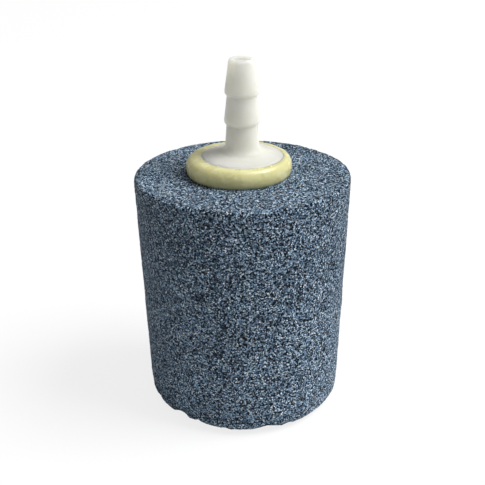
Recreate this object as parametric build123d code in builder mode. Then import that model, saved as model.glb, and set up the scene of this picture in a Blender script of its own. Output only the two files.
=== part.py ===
"""Cylindrical air stone: a porous grit block, a barbed hose nozzle and the adhesive that joins them.

Millimetres, +Z up. The origin is the centre of the block's flat base, and +Z runs up the nozzle.
"""

import os

from build123d import *

# ---- Stone: a tapered block moulded from bonded grit, with one blind hole for the air ----
stone_height = 57.0
stone_top_diameter = 50.0
stone_base_diameter = 46.0
stone_top_edge_radius = 1.0
stone_base_edge_radius = 3.5
hole_depth = 40.0  # from the top face down to the hole's floor
hole_floor_radius = 2.0
hole_mouth_chamfer = 0.6

# ---- Nozzle below its flange: a hollow shank, with grooves that key it into the adhesive ----
shank_diameter = 9.4
shank_length = 12.0
shank_wall = 1.5
shank_end_chamfer = 0.6
groove_count = 3
groove_width = 1.2
groove_depth = 0.4
groove_pitch = 3.0
first_groove_drop = 2.2  # from the flange's underside to the middle of the first groove

# ---- Nozzle flange: a disc with a shallow cone on top, which flares up into the stem ----
flange_diameter = 19.0
flange_rim_height = 3.0
flange_cone_height = 1.3
flange_top_edge_radius = 0.9
flange_bottom_edge_radius = 0.4
stem_root_radius = 2.2

# ---- Nozzle stem: a plain length, then one barb after another up to the tip ----
stem_root_diameter = 7.9
plain_stem_length = 6.0
neck_diameters = (7.1, 6.8)  # just under each barb, the lower barb first
barb_diameters = (8.1, 7.76)
barb_back_length = 0.7  # the short slope under a barb, which stops the hose pulling off
barb_land_length = 0.6  # the straight part at a barb's widest
barb_cone_lengths = (5.3, 7.1)
tip_diameter = 5.8
tip_edge_radius = 0.8
bore_diameter = 3.6
bore_mouth_radius = 0.25

# ---- Adhesive: a film round the shank, a bed under the flange and a bead round the rim ----
film_thickness = 0.5  # between the shank and the wall of the hole
film_stop = 1.0  # from the shank's lower end up to where the film ends
bed_thickness = 1.2  # between the stone's top face and the flange
bead_overhang = 2.6  # how far the bead stands out past the flange
bead_width = 3.4
bead_height = 4.3  # from the stone's top face to the bead's crest
bead_sink = 0.3  # how much of the bead's oval section the stone's face cuts off

# ---- Worked out from the sizes above ----
hole_diameter = shank_diameter + 2 * film_thickness
hole_floor_z = stone_height - hole_depth
flange_z = stone_height + bed_thickness
shank_end_z = flange_z - shank_length
rim_top_z = flange_z + flange_rim_height
stem_root_z = rim_top_z + flange_cone_height
barbs_length = sum(barb_back_length + barb_land_length + cone for cone in barb_cone_lengths)
tip_z = stem_root_z + plain_stem_length + barbs_length
shank_bore_diameter = shank_diameter - 2 * shank_wall
groove_floor_diameter = shank_diameter - 2 * groove_depth
bead_centre_radius = flange_diameter / 2 + bead_overhang - bead_width / 2
bead_half_height = (bead_height + bead_sink) / 2
bead_centre_z = stone_height + bead_height - bead_half_height

height_tolerance = 0.001  # for picking an edge by its height


def rings_at(height):
    """The round edges of the piece in hand at one height, the smallest first."""
    rings = edges().filter_by(GeomType.CIRCLE)
    rings = rings.filter_by_position(Axis.Z, height - height_tolerance, height + height_tolerance)
    return rings.sort_by(SortBy.RADIUS)


def stem_points():
    """The outside of the stem from its root up to the tip, as (radius, height) points."""
    z = stem_root_z
    points = [(stem_root_diameter / 2, z)]
    z += plain_stem_length
    for neck, barb, cone in zip(neck_diameters, barb_diameters, barb_cone_lengths):
        points.append((neck / 2, z))
        z += barb_back_length
        points.append((barb / 2, z))
        z += barb_land_length
        points.append((barb / 2, z))
        z += cone
    points.append((tip_diameter / 2, z))
    return points


# ---- Porous stone ----
with BuildPart() as porous_stone:
    with BuildSketch(Plane.XZ):
        with BuildLine():
            Polyline(
                (0, 0),
                (stone_base_diameter / 2, 0),
                (stone_top_diameter / 2, stone_height),
                (0, stone_height),
                close=True,
            )
        make_face()
    revolve(axis=Axis.Z)
    fillet(rings_at(0), stone_base_edge_radius)
    fillet(rings_at(stone_height), stone_top_edge_radius)
    with BuildSketch(Plane.XY.offset(stone_height)):
        Circle(hole_diameter / 2)
    extrude(amount=-hole_depth, mode=Mode.SUBTRACT)
    fillet(rings_at(hole_floor_z), hole_floor_radius)
    chamfer(rings_at(stone_height)[0], hole_mouth_chamfer)
porous_stone.part.label = "porous_stone"

# ---- Barbed nozzle ----
with BuildPart() as barbed_nozzle:
    with BuildSketch(Plane.XZ):
        with BuildLine():
            Polyline(
                (0, shank_end_z),
                (shank_diameter / 2, shank_end_z),
                (shank_diameter / 2, flange_z),
                (flange_diameter / 2, flange_z),
                (flange_diameter / 2, rim_top_z),
                *stem_points(),
                (0, tip_z),
                close=True,
            )
        make_face()
    revolve(axis=Axis.Z)
    fillet(rings_at(tip_z), tip_edge_radius)
    fillet(rings_at(stem_root_z), stem_root_radius)
    fillet(rings_at(rim_top_z), flange_top_edge_radius)
    fillet(rings_at(flange_z)[-1], flange_bottom_edge_radius)
    chamfer(rings_at(shank_end_z), shank_end_chamfer)
    # Grooves round the shank.
    for i in range(groove_count):
        groove_top_z = flange_z - first_groove_drop - i * groove_pitch + groove_width / 2
        with BuildSketch(Plane.XY.offset(groove_top_z)):
            Circle(shank_diameter / 2)
            Circle(groove_floor_diameter / 2, mode=Mode.SUBTRACT)
        extrude(amount=-groove_width, mode=Mode.SUBTRACT)
    # The air way: a wide bore up the shank, a cone inside the flange, a narrow bore to the tip.
    with BuildSketch(Plane.XZ):
        with BuildLine():
            Polyline(
                (0, shank_end_z),
                (shank_bore_diameter / 2, shank_end_z),
                (shank_bore_diameter / 2, flange_z),
                (bore_diameter / 2, rim_top_z),
                (bore_diameter / 2, tip_z),
                (0, tip_z),
                close=True,
            )
        make_face()
    revolve(axis=Axis.Z, mode=Mode.SUBTRACT)
    fillet(rings_at(tip_z)[0], bore_mouth_radius)
barbed_nozzle.part.label = "barbed_nozzle"

# ---- Adhesive ----
with BuildPart() as adhesive_bead:
    # The bead round the flange, and the bed under it.
    with BuildSketch(Plane.XZ):
        with Locations((bead_centre_radius, bead_centre_z)):
            Ellipse(bead_width / 2, bead_half_height)
        with Locations((0, stone_height)):
            Rectangle(bead_centre_radius, bed_thickness, align=Align.MIN)
    revolve(axis=Axis.Z)
    # The film, poured wider than the hole's mouth and trimmed to the stone below.
    with BuildSketch(Plane.XY.offset(stone_height)):
        Circle(hole_diameter / 2 + hole_mouth_chamfer)
    extrude(amount=shank_end_z + film_stop - stone_height)
    add(porous_stone.part, mode=Mode.SUBTRACT)
    # Room for the nozzle: a core that keeps its air way clear, then the nozzle itself.
    with BuildSketch(Plane.XY.offset(shank_end_z)):
        Circle(groove_floor_diameter / 2)
    extrude(amount=tip_z - shank_end_z, mode=Mode.SUBTRACT)
    add(barbed_nozzle.part, mode=Mode.SUBTRACT)
adhesive_bead.part.label = "adhesive_bead"

os.makedirs("parts", exist_ok=True)
export_step(porous_stone.part, "parts/porous_stone.step")
export_step(barbed_nozzle.part, "parts/barbed_nozzle.step")
export_step(adhesive_bead.part, "parts/adhesive_bead.step")
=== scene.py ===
"""The looks of the air stone: a gritty block, a translucent nozzle and a glossy hand-laid bead."""

import math

import bpy
import numpy as np
from mathutils import Matrix, Vector, noise


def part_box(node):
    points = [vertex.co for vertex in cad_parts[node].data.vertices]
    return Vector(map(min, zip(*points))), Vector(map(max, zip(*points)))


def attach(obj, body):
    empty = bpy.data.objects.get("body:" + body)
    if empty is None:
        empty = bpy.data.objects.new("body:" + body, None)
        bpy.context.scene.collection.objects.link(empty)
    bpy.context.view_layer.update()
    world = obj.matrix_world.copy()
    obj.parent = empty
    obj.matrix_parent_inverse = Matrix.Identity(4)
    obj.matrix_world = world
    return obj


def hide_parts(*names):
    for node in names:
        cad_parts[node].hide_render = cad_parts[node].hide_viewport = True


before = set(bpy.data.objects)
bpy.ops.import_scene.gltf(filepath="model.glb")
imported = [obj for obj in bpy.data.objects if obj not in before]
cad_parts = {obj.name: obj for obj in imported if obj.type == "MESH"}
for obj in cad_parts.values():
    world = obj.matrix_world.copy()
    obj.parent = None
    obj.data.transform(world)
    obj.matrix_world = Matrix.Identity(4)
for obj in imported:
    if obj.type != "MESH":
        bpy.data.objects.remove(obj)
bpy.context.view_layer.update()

MM = 0.001
TURN = 2 * math.pi

# ---- Places read from the frame ----
STONE_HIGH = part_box("porous_stone")[1]
NOZZLE_LOW, NOZZLE_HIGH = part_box("barbed_nozzle")
BEAD_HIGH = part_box("adhesive_bead")[1]
STONE_TOP = STONE_HIGH.z

# ---- Stone, all in metres ----
STONE_TOP_RADIUS = 25.0 * MM
STONE_BASE_RADIUS = 23.0 * MM
TOP_EDGE = 1.0 * MM
BASE_EDGE = 3.5 * MM
HOLE_RADIUS = 5.2 * MM
HOLE_DEPTH = 40.0 * MM
HOLE_FLOOR_EDGE = 2.0 * MM
HOLE_CHAMFER = 0.6 * MM
GRAIN = 0.25 * MM  # the usual distance between two grains
FINE_STEP = 0.372 * MM  # between the mesh's points where the stone shows
FINE_ROW = FINE_STEP * 0.866  # between rows of points, which makes the triangles even
COARSE_STEP = 0.9 * MM  # and where it doesn't show
GRIT_DEPTH = 0.09  # how far the grit lies inside the CAD surface, in millimetres
GRIT_RELIEF = 0.08  # and how far a grain or a pore is from that, in millimetres
JITTER = 0.3  # how far a point may stray, as a share of its step
UV_WIDTH = 131.0 * MM  # the width of flattened stone that the baked image spans
UV_GAP = 1.5 * MM  # between two flattened pieces of it

# ---- Nozzle: heights are measured down from its tip ----
TIP = NOZZLE_HIGH.z
FLANGE_RADIUS = NOZZLE_HIGH.x
FLANGE_BOTTOM = TIP - 25.3 * MM
RIM_TOP = FLANGE_BOTTOM + 3.0 * MM
SHANK_END = NOZZLE_LOW.z
SHANK_RADIUS = 4.7 * MM
GROOVE_RADIUS = 4.3 * MM
GROOVES = tuple(FLANGE_BOTTOM - drop * MM for drop in (2.2, 5.2, 8.2))
GROOVE_HALF = 0.6 * MM
NOZZLE_STEP = 0.35 * MM
NOZZLE_SIDES = 192

# ---- Bead, laid by hand a little off the nozzle's axis ----
BEAD_SHIFT = Vector((-0.8, -0.05, 0.0)) * MM
BEAD_RADIUS = BEAD_HIGH.x
BEAD_SIDES = 320
BEAD_STEP = 0.15 * MM
FILM_END = SHANK_END + 1.0 * MM
SINK = 0.25 * MM  # how far the adhesive soaks into the grit under it


# ---------------------------------------------------------------- mesh helpers
def new_piece(name, points, faces, smooth=True):
    """A mesh object from points in metres and faces as lists of point numbers."""
    mesh = bpy.data.meshes.new(name)
    mesh.from_pydata([tuple(p) for p in points], [], faces)
    mesh.polygons.foreach_set("use_smooth", [smooth] * len(mesh.polygons))
    mesh.update()
    piece = bpy.data.objects.new(name, mesh)
    bpy.context.scene.collection.objects.link(piece)
    return piece


def add_attribute(piece, name, values):
    """Stores one number per point, for the material to read."""
    attribute = piece.data.attributes.new(name, "FLOAT", "POINT")
    attribute.data.foreach_set("value", np.asarray(values, np.float32))


def stitch(a, angle_a, b, angle_b):
    """Triangles that fill the band between two rings of points, each in order of angle."""
    next_a = list(angle_a[1:]) + [angle_a[0] + TURN]
    next_b = list(angle_b[1:]) + [angle_b[0] + TURN]
    faces = []
    i = j = 0
    while i < len(a) or j < len(b):
        if j == len(b) or (i < len(a) and next_a[i] < next_b[j]):
            faces.append((a[i], a[(i + 1) % len(a)], b[j % len(b)]))
            i += 1
        else:
            faces.append((a[i % len(a)], b[(j + 1) % len(b)], b[j]))
            j += 1
    return faces


def arc(centre, radius, start, end, step):
    """Points along an arc in (radius, height), from one angle to another in degrees."""
    count = max(2, round(math.radians(abs(end - start)) * radius / step) + 1)
    angles = np.radians(np.linspace(start, end, count))
    return [(centre[0] + radius * math.cos(t), centre[1] + radius * math.sin(t)) for t in angles]


def line(start, end, step):
    """Points along a straight run in (radius, height)."""
    count = max(2, round(math.dist(start, end) / step) + 1)
    return [tuple(p) for p in np.linspace(start, end, count)]


def rounded(corners, step):
    """Points round a closed outline of (radius, height, fillet) corners, each rounded by its fillet."""
    points = []
    for k, (radius, height, fillet) in enumerate(corners):
        here = np.array((radius, height))
        before = np.array(corners[k - 1][:2]) - here
        after = np.array(corners[(k + 1) % len(corners)][:2]) - here
        before /= np.linalg.norm(before)
        after /= np.linalg.norm(after)
        half = math.acos(np.clip(before @ after, -1.0, 1.0)) / 2
        start = here + before * fillet / math.tan(half)
        end = here + after * fillet / math.tan(half)
        centre = here + (before + after) / np.linalg.norm(before + after) * fillet / math.sin(half)
        if points:
            points += line(points[-1], start, step)[1:]
        else:
            points.append(tuple(start))
        if fillet:
            turn = math.pi - 2 * half
            first = math.atan2(*(start - centre)[::-1])
            last = math.atan2(*(end - centre)[::-1])
            way = math.remainder(last - first, TURN)
            count = max(5, round(turn * fillet / step) + 1)
            for t in np.linspace(0, way, count)[1:]:
                across = fillet * math.cos(first + t)
                up = fillet * math.sin(first + t)
                points.append((centre[0] + across, centre[1] + up))
    points += line(points[-1], points[0], step)[1:-1]
    return points


def lathe(name, sides, section):
    """A closed ring of quads: section(angle) gives the outline's points in metres, in (x, y, z)."""
    points = []
    for i in range(sides):
        points += section(TURN * i / sides)
    count = len(points) // sides
    faces = []
    for i in range(sides):
        here = i * count
        there = (i + 1) % sides * count
        for k in range(count):
            after = (k + 1) % count
            faces.append((here + k, here + after, there + after, there + k))
    return new_piece(name, points, faces)


def smooth_step(value, low, high):
    """0 below low, 1 above high and an easy slope between them."""
    t = min(max((value - low) / (high - low), 0.0), 1.0)
    return t * t * (3 - 2 * t)


# ---------------------------------------------------------------- material helpers
def new_material(name):
    """An empty node material and its node tree."""
    material = bpy.data.materials.new(name)
    material.use_nodes = True
    material.node_tree.nodes.clear()
    return material, material.node_tree


def add_node(tree, kind, inputs=None, **settings):
    """A shader node with its settings and inputs, each a number, a colour or a node's output."""
    node = tree.nodes.new("ShaderNode" + kind)
    for key, value in settings.items():
        setattr(node, key, value)
    for key, value in (inputs or {}).items():
        if isinstance(value, bpy.types.NodeSocket):
            tree.links.new(value, node.inputs[key])
        else:
            node.inputs[key].default_value = value
    return node


def maths(tree, operation, *values):
    """The result of a Math node."""
    return add_node(tree, "Math", dict(enumerate(values)), operation=operation).outputs[0]


def spread(tree, value, low, high, new_low=0.0, new_high=1.0):
    """value carried smoothly from one range to another."""
    settings = {"From Min": low, "From Max": high, "To Min": new_low, "To Max": new_high, "Value": value}
    return add_node(tree, "MapRange", settings, interpolation_type="SMOOTHSTEP").outputs["Result"]


def offset_colour(tree, colour):
    """A colour moved down by a half, so that it serves as a direction either way."""
    return add_node(tree, "VectorMath", {0: colour, 1: (0.5, 0.5, 0.5)}, operation="SUBTRACT")


def noise_texture(tree, place, size, detail):
    """A noise texture's value, where size is the usual size of its patches."""
    inputs = {"Vector": place, "Scale": 1 / size, "Detail": detail}
    return add_node(tree, "TexNoise", inputs).outputs["Fac"]


def blend_colours(tree, how, amount, first, second):
    """Two colours mixed in one of the Mix node's ways."""
    mix = add_node(tree, "Mix", data_type="RGBA", blend_type=how)
    sockets = (mix.inputs["Factor"], mix.inputs[6], mix.inputs[7])
    for socket, value in zip(sockets, (amount, first, second)):
        if isinstance(value, bpy.types.NodeSocket):
            tree.links.new(value, socket)
        else:
            socket.default_value = value
    return mix.outputs[2]


def ramp(tree, value, stops):
    """A colour ramp from (position, colour) stops."""
    node = add_node(tree, "ValToRGB", {"Fac": value})
    node.color_ramp.interpolation = "LINEAR"
    elements = node.color_ramp.elements
    while len(elements) < len(stops):
        elements.new(0.5)
    for element, (position, colour) in zip(elements, stops):
        element.position = position
        element.color = (*colour, 1.0)
    return node.outputs["Color"]


def finish_material(tree, shader):
    """Wires a shader to the material's output."""
    output = add_node(tree, "OutputMaterial")
    tree.links.new(shader.outputs[0], output.inputs["Surface"])


# ---------------------------------------------------------------- materials
def grit_material():
    """Blue-grey bonded grit: each grain has its own tone, tilt and gloss, with painted shade in the pores
    and crevices between.
    """
    material, tree = new_material("bonded_grit")
    place = add_node(tree, "TexCoord").outputs["Object"]
    stir = add_node(tree, "TexNoise", {"Vector": place, "Scale": 1 / (0.7 * MM), "Detail": 1.0})
    centred = offset_colour(tree, stir.outputs["Color"])
    shift = add_node(tree, "VectorMath", {0: centred.outputs[0], "Scale": 0.22 * MM}, operation="SCALE")
    stirred = add_node(tree, "VectorMath", {0: place, 1: shift.outputs[0]}, operation="ADD").outputs[0]

    cells = {"Vector": stirred, "Scale": 1 / GRAIN}
    grains = add_node(tree, "TexVoronoi", cells)
    edges = add_node(tree, "TexVoronoi", cells, feature="DISTANCE_TO_EDGE").outputs["Distance"]
    chance = add_node(tree, "SeparateColor", {"Color": grains.outputs["Color"]})
    shade, hue, gloss = chance.outputs

    colour = ramp(tree, shade, [
        (0.00, (0.002, 0.003, 0.006)),
        (0.26, (0.006, 0.009, 0.016)),
        (0.38, (0.045, 0.078, 0.124)),
        (0.60, (0.130, 0.215, 0.320)),
        (0.78, (0.280, 0.420, 0.570)),
        (0.90, (0.510, 0.680, 0.840)),
        (1.00, (0.880, 0.960, 1.000)),
    ])
    warm = spread(tree, hue, 0.985, 0.992)
    colour = blend_colours(tree, "MIX", warm, colour, (0.34, 0.31, 0.25, 1.0))
    violet = spread(tree, hue, 0.10, 0.02)
    colour = blend_colours(tree, "MULTIPLY", violet, colour, (1.02, 0.92, 1.02, 1.0))

    # Painted shade: the colour is darkened in the crevices between grains and inside the pores, where
    # shade falls.
    crevice_shade = spread(tree, edges, 0.0, 0.16, 0.25, 1.0)
    pores = add_node(tree, "TexVoronoi", {"Vector": stirred, "Scale": 1 / (0.85 * MM)})
    pore_chance = add_node(tree, "SeparateColor", {"Color": pores.outputs["Color"]}).outputs[0]
    pore_size = maths(tree, "MULTIPLY", pore_chance, 0.42)
    inside = maths(tree, "SUBTRACT", pores.outputs["Distance"], pore_size)
    pore = spread(tree, inside, -0.10, 0.02, 0.10, 1.0)
    # Painted light and shade from the mesh's relief: pits are darkened and proud grains made a little
    # paler.
    proud = add_node(tree, "Attribute", attribute_name="proud").outputs["Fac"]
    painted_light = spread(tree, proud, -0.9, 0.5, 0.75, 1.10)
    # Painted light: the pale attribute makes the top face paler as if lit from above; down the side it
    # only grows paler towards the foot.
    pale = add_node(tree, "Attribute", attribute_name="pale").outputs["Fac"]
    painted_light = maths(tree, "MULTIPLY", painted_light, pale)
    drift = noise_texture(tree, place, 11 * MM, 3.0)
    drift = spread(tree, drift, 0.3, 0.7, 0.92, 1.08)
    # The painted shade of gaps and pits, the painted top light and a random drift in tone, all multiplied
    # into the colour.
    gaps = maths(tree, "MULTIPLY", crevice_shade, pore)
    dark = maths(tree, "MULTIPLY", gaps, maths(tree, "MULTIPLY", painted_light, drift))
    colour = add_node(tree, "VectorMath", {0: colour, "Scale": dark}, operation="SCALE").outputs[0]

    # Each grain is a small tilted dome, sunk at its edges and lost inside a pore.
    dome = maths(tree, "SUBTRACT", 1.0, grains.outputs["Distance"])
    height = maths(tree, "ADD", maths(tree, "MULTIPLY", dome, 0.8), maths(tree, "MULTIPLY", gloss, 0.5))
    height = maths(tree, "MULTIPLY", height, gaps)
    bump = add_node(tree, "Bump", {"Height": height, "Distance": 0.16 * MM, "Strength": 1.0})
    facet = offset_colour(tree, grains.outputs["Color"])
    facet = add_node(tree, "VectorMath", {0: facet.outputs[0], "Scale": 0.9}, operation="SCALE")
    tilted = add_node(tree, "VectorMath", {0: bump.outputs[0], 1: facet.outputs[0]}, operation="ADD")
    normal = add_node(tree, "VectorMath", {0: tilted.outputs[0]}, operation="NORMALIZE").outputs[0]

    roughness = spread(tree, gloss, 0.80, 0.95, 0.85, 0.38)
    shader = add_node(tree, "BsdfPrincipled", {
        "Base Color": colour,
        "Roughness": roughness,
        "Normal": normal,
        "Specular IOR Level": 0.15,
    })
    finish_material(tree, shader)
    return material


def plastic_material():
    """Natural white moulded plastic: light soaks through it, with a faint haze and fine mould marks."""
    material, tree = new_material("white_plastic")
    place = add_node(tree, "TexCoord").outputs["Object"]
    haze = noise_texture(tree, place, 4 * MM, 3.0)
    haze = spread(tree, haze, 0.3, 0.7)
    colour = ramp(tree, haze, [(0.0, (0.630, 0.622, 0.545)), (1.0, (0.670, 0.662, 0.590))])
    # The way the plastic flowed into the mould shows as soft streaks along the stem.
    stretched = add_node(tree, "Mapping", {"Vector": place, "Scale": (1.0, 1.0, 0.12)}).outputs[0]
    streaks = noise_texture(tree, stretched, 0.9 * MM, 2.0)
    fine = noise_texture(tree, place, 0.25 * MM, 2.0)
    fine = maths(tree, "MULTIPLY", fine, 0.25)
    height = maths(tree, "ADD", maths(tree, "MULTIPLY", streaks, 0.6), fine)
    bump = add_node(tree, "Bump", {"Height": height, "Distance": 0.03 * MM, "Strength": 1.0})
    roughness = spread(tree, streaks, 0.3, 0.7, 0.34, 0.50)
    shader = add_node(tree, "BsdfPrincipled", {
        "Base Color": colour,
        "Roughness": roughness,
        "Normal": bump.outputs[0],
        "Specular IOR Level": 0.30,
        "Subsurface Weight": 1.0,
        "Subsurface Radius": (1.0, 0.97, 0.75),
        "Subsurface Scale": 8.0 * MM,
    })
    finish_material(tree, shader)
    return material


def adhesive_material():
    """Set cream adhesive: glossy and a little cloudy, with small bubbles and patchy painted shade at its
    foot, under the bulge.
    """
    material, tree = new_material("cream_adhesive")
    place = add_node(tree, "TexCoord").outputs["Object"]
    cloud = noise_texture(tree, place, 3.5 * MM, 4.0)
    colour = ramp(tree, spread(tree, cloud, 0.3, 0.7), [
        (0.0, (0.600, 0.570, 0.290)),
        (1.0, (0.650, 0.625, 0.350)),
    ])
    bubbles = add_node(tree, "TexVoronoi", {"Vector": place, "Scale": 1 / (1.3 * MM)})
    chance = add_node(tree, "SeparateColor", {"Color": bubbles.outputs["Color"]}).outputs[0]
    rare = spread(tree, chance, 0.80, 0.82)
    spot = maths(tree, "MULTIPLY", spread(tree, bubbles.outputs["Distance"], 0.16, 0.08), rare)
    colour = blend_colours(tree, "MULTIPLY", spot, colour, (0.86, 0.84, 0.72, 1.0))
    # Painted shade: the undercut foot under the bead's bulge is darkened in noisy patches, where shade
    # falls.
    low = add_node(tree, "Attribute", attribute_name="foot").outputs["Fac"]
    foot_shade_patches = noise_texture(tree, place, 0.35 * MM, 2.0)
    foot_shade = maths(tree, "MULTIPLY", low, spread(tree, foot_shade_patches, 0.35, 0.65))
    colour = blend_colours(tree, "MIX", foot_shade, colour, (0.16, 0.17, 0.13, 1.0))
    ripple = noise_texture(tree, place, 1.6 * MM, 2.0)
    fine = noise_texture(tree, place, 0.30 * MM, 1.0)
    height = maths(tree, "ADD", ripple, maths(tree, "MULTIPLY", fine, 0.10))
    height = maths(tree, "SUBTRACT", height, maths(tree, "MULTIPLY", spot, 0.25))
    bump = add_node(tree, "Bump", {"Height": height, "Distance": 0.12 * MM, "Strength": 1.0})
    roughness = spread(tree, cloud, 0.3, 0.7, 0.20, 0.34)
    shader = add_node(tree, "BsdfPrincipled", {
        "Base Color": colour,
        "Roughness": roughness,
        "Normal": bump.outputs[0],
        "Specular IOR Level": 0.50,
        "Subsurface Weight": 1.0,
        "Subsurface Radius": (1.0, 0.95, 0.5),
        "Subsurface Scale": 1.6 * MM,
    })
    finish_material(tree, shader)
    return material


# ---------------------------------------------------------------- stone
def stone_outline():
    """The stone's outline in (radius, height) from the base's centre round to the hole's floor.

    Each point comes with the name of the stretch it lies on.
    """
    lean = math.degrees(math.atan2(STONE_TOP_RADIUS - STONE_BASE_RADIUS, STONE_TOP))
    tilt = math.radians(lean)

    def wall_radius(height, inset):
        """The radius of a line that runs inset inside the tapered wall."""
        return STONE_BASE_RADIUS + height * math.tan(tilt) - inset / math.cos(tilt)

    base_centre = (wall_radius(BASE_EDGE, BASE_EDGE), BASE_EDGE)
    top_centre = (wall_radius(STONE_TOP - TOP_EDGE, TOP_EDGE), STONE_TOP - TOP_EDGE)
    base_round = arc(base_centre, BASE_EDGE, -90, -lean, FINE_STEP)
    top_round = arc(top_centre, TOP_EDGE, -lean, 90, FINE_STEP)
    fine_from = base_centre[0] - 3 * MM
    floor = STONE_TOP - HOLE_DEPTH
    floor_centre = (HOLE_RADIUS - HOLE_FLOOR_EDGE, floor + HOLE_FLOOR_EDGE)
    floor_round = arc(floor_centre, HOLE_FLOOR_EDGE, 0, -90, COARSE_STEP)
    mouth = (HOLE_RADIUS + HOLE_CHAMFER, STONE_TOP)
    neck = (HOLE_RADIUS, STONE_TOP - HOLE_CHAMFER)
    middle = len(base_round) // 2
    crown = len(top_round) // 2
    stretches = [
        ("base", line((0.0, 0.0), (fine_from, 0.0), COARSE_STEP)),
        ("base", line((fine_from, 0.0), base_round[0], FINE_STEP)),
        ("base", base_round[: middle + 1]),
        ("side", base_round[middle:]),
        ("side", line(base_round[-1], top_round[0], FINE_ROW)),
        ("side", top_round[: crown + 1]),
        ("top", top_round[crown:]),
        ("top", line(top_round[-1], mouth, FINE_ROW)),
        ("hole", line(mouth, neck, COARSE_STEP)),
        ("hole", line(neck, floor_round[0], COARSE_STEP)),
        ("hole", floor_round),
        ("hole", line(floor_round[-1], (0.0, floor), COARSE_STEP)),
    ]
    outline = [stretches[0][1][0]]
    names = []
    for name, run in stretches:
        outline += run[1:]
        names += [name] * (len(run) - 1)
    return np.array(outline), names


def worn_depth(angle, height):
    """How far the block's lower edge is worn back at an angle round it."""
    way = Vector((math.cos(angle), math.sin(angle), 0.0))
    low = 1 - smooth_step(height, 1.0 * MM, 7.0 * MM)
    slow = noise.noise(way * 1.6 + Vector((3.1, 0.0, 7.7)))
    chips = max(noise.noise(way * 7.0 + Vector((0.0, 9.2, height / (4 * MM)))), 0.0)
    return low * (0.35 + 0.55 * slow + 1.1 * chips) * MM


def grain_height(place):
    """How proud the surface stands at a place, from about -1 in a pore to 1 on a grain."""
    distances, seeds = noise.voronoi(place / GRAIN)
    lift = 1.6 * noise.noise(seeds[0] * 5.3)
    dome = 0.55 - distances[0]
    return max(min(0.8 * lift + 0.7 * dome, 1.0), -1.0)


def stone_paleness_and_top_light(name, height):
    """How pale the grit is: paler on its top face as painted light from above, and down the side paler
    towards the block's foot.
    """
    if name == "top":
        return 1.06
    return 0.93 + 0.17 * (1 - smooth_step(height, 0.0, STONE_TOP))


def unwrap_stone(piece, faces, zones, angles, travel, side_start, mouth):
    """Lays the stone flat for baking: two half turns of the side, with the top, base and hole as discs.

    travel is each point's way along the outline; side_start and mouth are where side and hole start.
    """
    half_turn = math.pi * (STONE_TOP_RADIUS + STONE_BASE_RADIUS) / 2
    column = half_turn + 2 * UV_GAP
    top_middle = (column + STONE_TOP_RADIUS + UV_GAP, STONE_TOP_RADIUS + UV_GAP)
    base_middle = (top_middle[0], 2 * STONE_TOP_RADIUS + STONE_BASE_RADIUS + 2 * UV_GAP)
    hole_middle = (top_middle[0], UV_WIDTH - 15 * MM)
    hole_shrink = 0.29  # the hole is hardly seen, so it gets a small share of the image
    places = []
    for face, zone in zip(faces, zones):
        first = angles[face[0]]
        near = [first + math.remainder(angles[k] - first, TURN) for k in face]
        if zone == "side":
            facing = sum(near) / 3 % TURN
            back = facing < math.pi
            for angle, k in zip(near, face):
                around = facing + math.remainder(angle - facing, TURN) - (0 if back else math.pi)
                u = UV_GAP + around / math.pi * half_turn
                v = UV_GAP + travel[k] - side_start + (STONE_TOP + 2 * UV_GAP) * back
                places.append((u, v))
            continue
        for angle, k in zip(near, face):
            if zone == "top":
                middle, reach = top_middle, HOLE_RADIUS + HOLE_CHAMFER + mouth - travel[k]
            elif zone == "base":
                middle, reach = base_middle, travel[k]
            else:
                middle, reach = hole_middle, (travel[-1] - travel[k]) * hole_shrink
            places.append((middle[0] + reach * math.cos(angle), middle[1] + reach * math.sin(angle)))
    layer = piece.data.uv_layers.new(name="OFBake")
    layer.data.foreach_set("uv", (np.array(places) / UV_WIDTH).astype(np.float32).ravel())


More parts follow.
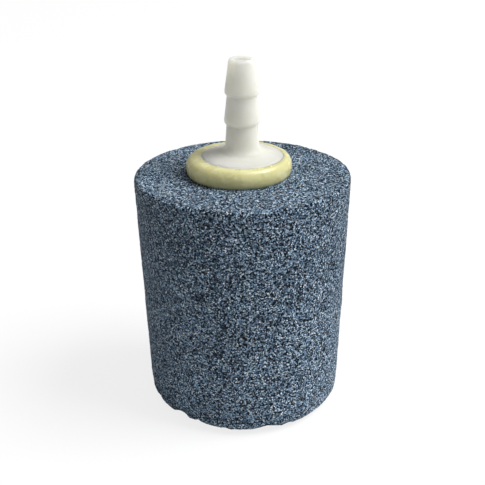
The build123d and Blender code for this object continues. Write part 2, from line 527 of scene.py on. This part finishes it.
def make_stone():
    """The porous block: grains all over, worn along its lower edge, with the hole down it."""
    random = np.random.default_rng(4)
    outline, names = stone_outline()
    tangent = np.gradient(outline, axis=0)
    tangent /= np.linalg.norm(tangent, axis=1)[:, None]
    points = []
    proud = []
    pale = []
    rings = []
    runs = np.linalg.norm(np.diff(outline, axis=0), axis=1)
    ring_travel = np.concatenate([[0], np.cumsum(runs)])
    turns = []
    travel = []
    for k, (radius, height) in enumerate(outline):
        start = len(points)
        ends = k in (0, len(outline) - 1)
        name = names[max(k - 1, 0)]
        gap = np.linalg.norm(outline[min(k + 1, len(outline) - 1)] - outline[max(k - 1, 0)]) / 2
        fine = gap < 1.5 * FINE_STEP
        step = FINE_STEP if fine else COARSE_STEP
        count = 1 if ends else max(8, round(TURN * radius / step))
        swing = random.uniform(-JITTER, JITTER, count) * (not ends)
        slide = random.uniform(-JITTER, JITTER, count) * gap * (not ends)
        angles = TURN * (np.arange(count) + 0.5 + swing) / count
        for angle, along in zip(angles, slide):
            r = radius + along * tangent[k][0]
            z = height + along * tangent[k][1]
            out = (tangent[k][1], -tangent[k][0])
            place = Vector((r * math.cos(angle), r * math.sin(angle), z))
            grain = grain_height(place)
            slow = noise.noise(place / (9 * MM)) * 0.10 + noise.noise(place / (2.6 * MM)) * 0.10
            depth = (GRIT_DEPTH - GRIT_RELIEF * grain - slow) * MM
            if name == "hole":
                depth = 0.0
            depth += worn_depth(angle, z) if name in ("base", "side") else 0.0
            r = r - depth * out[0]
            z = max(z - depth * out[1], 0.0)
            points.append((r * math.cos(angle), r * math.sin(angle), z))
            proud.append(grain)
            pale.append(stone_paleness_and_top_light(name, z))
            turns.append(angle)
            travel.append(ring_travel[k] + along)
        rings.append((list(range(start, start + count)), list(angles)))
    faces = []
    zones = []
    for k in range(len(rings) - 1):
        (a, angle_a), (b, angle_b) = rings[k], rings[k + 1]
        if len(a) == 1:
            band = [(a[0], b[(i + 1) % len(b)], b[i]) for i in range(len(b))]
        elif len(b) == 1:
            band = [(a[i], a[(i + 1) % len(a)], b[0]) for i in range(len(a))]
        else:
            band = stitch(a, angle_a, b, angle_b)
        faces += band
        zones += [names[k]] * len(band)
    piece = new_piece("stone_block", points, faces)
    add_attribute(piece, "proud", proud)
    add_attribute(piece, "pale", pale)
    side_start = ring_travel[names.index("side")]
    mouth = ring_travel[names.index("hole")]
    unwrap_stone(piece, faces, zones, turns, travel, side_start, mouth)
    return piece


stone = make_stone()
stone.data.materials.append(grit_material())
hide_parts("porous_stone")
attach(stone, "root")


# ---------------------------------------------------------------- nozzle
def nozzle_corners():
    """The nozzle's section as (radius, height, fillet) corners, from the bore's mouth outwards."""
    corners = [
        (1.80 * MM, TIP, 0.35 * MM),
        (2.90 * MM, TIP, 0.80 * MM),
        (3.88 * MM, TIP - 7.1 * MM, 0.30 * MM),
        (3.88 * MM, TIP - 7.7 * MM, 0.22 * MM),
        (3.40 * MM, TIP - 8.4 * MM, 0.35 * MM),
        (4.05 * MM, TIP - 13.7 * MM, 0.30 * MM),
        (4.05 * MM, TIP - 14.3 * MM, 0.22 * MM),
        (3.55 * MM, TIP - 15.0 * MM, 0.35 * MM),
        (3.95 * MM, TIP - 21.0 * MM, 2.20 * MM),
        (FLANGE_RADIUS, RIM_TOP, 0.90 * MM),
        (FLANGE_RADIUS, FLANGE_BOTTOM, 0.40 * MM),
        (SHANK_RADIUS, FLANGE_BOTTOM, 0.10 * MM),
    ]
    for middle in GROOVES:
        top = middle + GROOVE_HALF
        low = middle - GROOVE_HALF
        corners += [(SHANK_RADIUS, top, 0.1 * MM), (GROOVE_RADIUS, top, 0.1 * MM)]
        corners += [(GROOVE_RADIUS, low, 0.1 * MM), (SHANK_RADIUS, low, 0.1 * MM)]
    corners += [
        (SHANK_RADIUS, SHANK_END + 0.6 * MM, 0.1 * MM),
        (SHANK_RADIUS - 0.6 * MM, SHANK_END, 0.1 * MM),
        (3.20 * MM, SHANK_END, 0.1 * MM),
        (3.20 * MM, FLANGE_BOTTOM, 0.3 * MM),
        (1.80 * MM, RIM_TOP, 0.3 * MM),
    ]
    return corners


def make_nozzle():
    """The barbed nozzle, with soft moulded edges and the faint line where the mould's halves met."""
    outline = rounded(nozzle_corners(), NOZZLE_STEP)
    mould_line = math.radians(62)
    line_width = 0.20 * MM
    line_height = 0.035 * MM

    def section(angle):
        """The outline at one angle, a little uneven as moulded plastic is."""
        ring = []
        for radius, height in outline:
            off = abs(math.remainder(angle - mould_line, math.pi)) * radius
            outside = height > RIM_TOP and radius > 2.5 * MM
            lift = line_height * math.exp(-((off / line_width) ** 2)) if outside else 0.0
            way = Vector((math.cos(angle), math.sin(angle), height / (9 * MM)))
            if height > FLANGE_BOTTOM and radius > 2.5 * MM:
                lift += 0.03 * MM * noise.noise(way * 1.3)
            lifted = min(radius + lift, FLANGE_RADIUS)
            ring.append((lifted * math.cos(angle), lifted * math.sin(angle), height))
        return ring

    return lathe("nozzle_body", NOZZLE_SIDES, section)


nozzle = make_nozzle()
nozzle.data.materials.append(plastic_material())
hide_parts("barbed_nozzle")
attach(nozzle, "root")


# ---------------------------------------------------------------- bead
def oval(centre, reach, rise, start, end):
    """Points along part of an oval in (radius, height), from one angle to another in degrees."""
    length = math.radians(abs(end - start)) * max(abs(reach), abs(rise))
    count = max(3, round(length / BEAD_STEP) + 1)
    angles = np.radians(np.linspace(start, end, count))
    return [(centre[0] + reach * math.cos(t), centre[1] + rise * math.sin(t)) for t in angles]


def film_corners():
    """The adhesive's hidden side: down the hole's wall and back up the grooved shank to the flange."""
    wall = HOLE_RADIUS - 0.02 * MM
    corners = [
        (HOLE_RADIUS + HOLE_CHAMFER, STONE_TOP - SINK),
        (wall, STONE_TOP - HOLE_CHAMFER - SINK),
        (wall, FILM_END),
        (SHANK_RADIUS, FILM_END),
    ]
    for middle in reversed(GROOVES):
        low = middle - GROOVE_HALF
        top = middle + GROOVE_HALF
        corners += [(SHANK_RADIUS, low), (GROOVE_RADIUS, low), (GROOVE_RADIUS, top), (SHANK_RADIUS, top)]
    return corners + [(SHANK_RADIUS, FLANGE_BOTTOM), (FLANGE_RADIUS, FLANGE_BOTTOM)]


def make_bead():
    """The adhesive: a bead laid round the flange by hand, with the bed and film that hold the nozzle."""
    hidden = film_corners()
    foot_shade_marks = []

    def section(angle):
        """The bead's section at one angle: its lip on the flange, crest, bulge and undercut foot."""
        way = Vector((math.cos(angle), math.sin(angle), 0.0))
        slow = noise.noise(way * 1.1 + Vector((5.0, 2.0, 1.0)))
        quick = noise.noise(way * 3.2 + Vector((1.0, 8.0, 4.0)))
        reach = BEAD_RADIUS + (0.14 * slow + 0.05 * quick) * MM
        across = BEAD_SHIFT.dot(way)
        outer = across + math.sqrt(reach**2 - BEAD_SHIFT.length_squared + across**2)
        lip = FLANGE_RADIUS - (0.18 + 0.20 * slow - 0.14 * quick) * MM
        lip_height = RIM_TOP - 0.10 * MM
        crest_height = STONE_TOP + (4.15 + 0.14 * slow + 0.05 * quick - 0.06 * way.x) * MM
        crest = lip + (outer - lip) * 0.42
        waist_height = STONE_TOP + (1.85 + 0.15 * quick) * MM
        foot = outer - (0.85 + 0.2 * slow) * MM

        # A shallow crease, where the last of the bead was smoothed against the flange.
        front_right = max(0.0, math.cos(angle + math.radians(42))) ** 3
        crease = (0.02 + 0.16 * front_right) * MM
        crease_at = lip + 0.55 * MM

        shape = oval((crest, lip_height), lip - crest, crest_height - lip_height, 0, 90)
        bulge = oval((crest, waist_height), outer - crest, crest_height - waist_height, 90, 0)
        under = oval((foot, waist_height), outer - foot, waist_height - STONE_TOP + SINK, 0, -90)
        shape += bulge[1:] + under[1:]
        ring = []
        for radius, height in shape:
            dent = crease * math.exp(-(((radius - crease_at) / (0.17 * MM)) ** 2)) * (height > lip_height)
            ring.append((radius, height - dent))
        # Marks the foot under the bulge, where the adhesive's material paints shade.
        marks = [1 - smooth_step(z, STONE_TOP - 0.1 * MM, STONE_TOP + 0.7 * MM) for r, z in ring]
        foot_shade_marks.extend(marks)
        foot_shade_marks.extend([0.0] * (len(hidden) + 1))
        ring += [(HOLE_RADIUS + 3 * MM, STONE_TOP - SINK)] + hidden
        return [(r * way.x, r * way.y, z) for r, z in ring]

    piece = lathe("bead_body", BEAD_SIDES, section)
    add_attribute(piece, "foot", foot_shade_marks)
    return piece


bead = make_bead()
bead.data.materials.append(adhesive_material())
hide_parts("adhesive_bead")
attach(bead, "root")


# ---------------------------------------------------------------- stage
WHITE = (1.0, 1.0, 1.0, 1.0)
FLOOR_REACH = 3.0
FLOOR_PALENESS = 0.85
FLOOR_GLOW = 0.8  # how much of the floor the camera sees as plain white
SKY_LIGHT = 0.36
KEY_WAY = (0.50, -0.08, 0.68)  # towards the lamp, high on the right
KEY_DISTANCE = 2.7
KEY_SIZE = 1.5
KEY_POWER = 94.5  # watts


def make_camera():
    """The camera, which looks down on the stone from in front."""
    target = Vector((-0.15 * MM, 0.0, STONE_TOP - 17.70 * MM))
    distance = 225.0 * MM
    elevation = math.radians(23.86)
    roll = math.radians(-0.50)
    back = Vector((0.0, -math.cos(elevation), math.sin(elevation)))
    right = Vector((1.0, 0.0, 0.0))
    up = back.cross(right)
    x_axis = right * math.cos(roll) + up * math.sin(roll)
    y_axis = up * math.cos(roll) - right * math.sin(roll)
    turn = Matrix((x_axis, y_axis, back)).transposed().to_4x4()
    camera = bpy.data.objects.new("camera", bpy.data.cameras.new("camera"))
    camera.data.sensor_width = 36.0
    camera.data.lens = 70.2
    camera.data.clip_start = 0.01
    camera.matrix_world = Matrix.Translation(target + back * distance) @ turn
    bpy.context.scene.collection.objects.link(camera)
    bpy.context.scene.camera = camera


def make_floor():
    """A plain pale floor, which looks white but keeps a soft shadow."""
    size = FLOOR_REACH
    corners = [(-size, -size, 0.0), (size, -size, 0.0), (size, size, 0.0), (-size, size, 0.0)]
    floor = new_piece("floor", corners, [(0, 1, 2, 3)], smooth=False)
    material, tree = new_material("floor")
    matt = add_node(tree, "BsdfDiffuse", {"Color": (*[FLOOR_PALENESS] * 3, 1.0)})
    glow = add_node(tree, "Emission", {"Color": WHITE})
    seen = maths(tree, "MULTIPLY", add_node(tree, "LightPath").outputs["Is Camera Ray"], FLOOR_GLOW)
    mix = add_node(tree, "MixShader", {0: seen, 1: matt.outputs[0], 2: glow.outputs[0]})
    finish_material(tree, mix)
    floor.data.materials.append(material)


def make_world():
    """A white backdrop to look at, and an even grey one to light the stone."""
    world = bpy.data.worlds.new("world")
    bpy.context.scene.world = world
    world.use_nodes = True
    tree = world.node_tree
    tree.nodes.clear()
    light = add_node(tree, "Background", {"Color": WHITE, "Strength": SKY_LIGHT})
    seen = add_node(tree, "Background", {"Color": WHITE, "Strength": 1.0})
    camera_ray = add_node(tree, "LightPath").outputs["Is Camera Ray"]
    mix = add_node(tree, "MixShader", {0: camera_ray, 1: light.outputs[0], 2: seen.outputs[0]})
    add_node(tree, "OutputWorld", {"Surface": mix.outputs[0]})


def make_lamp(name, direction, distance, size, power):
    """A soft square lamp that points at the middle of the object."""
    target = Vector((0.0, 0.0, 40.0)) * MM
    way = Vector(direction).normalized()
    lamp = bpy.data.objects.new(name, bpy.data.lights.new(name, "AREA"))
    lamp.data.shape = "SQUARE"
    lamp.data.size = size
    lamp.data.energy = power
    lamp.location = target + way * distance
    lamp.rotation_euler = way.to_track_quat("Z", "Y").to_euler()
    bpy.context.scene.collection.objects.link(lamp)


make_camera()
make_floor()
make_world()
make_lamp("key", KEY_WAY, KEY_DISTANCE, KEY_SIZE, KEY_POWER)

scene = bpy.context.scene
scene.view_settings.view_transform = "Standard"
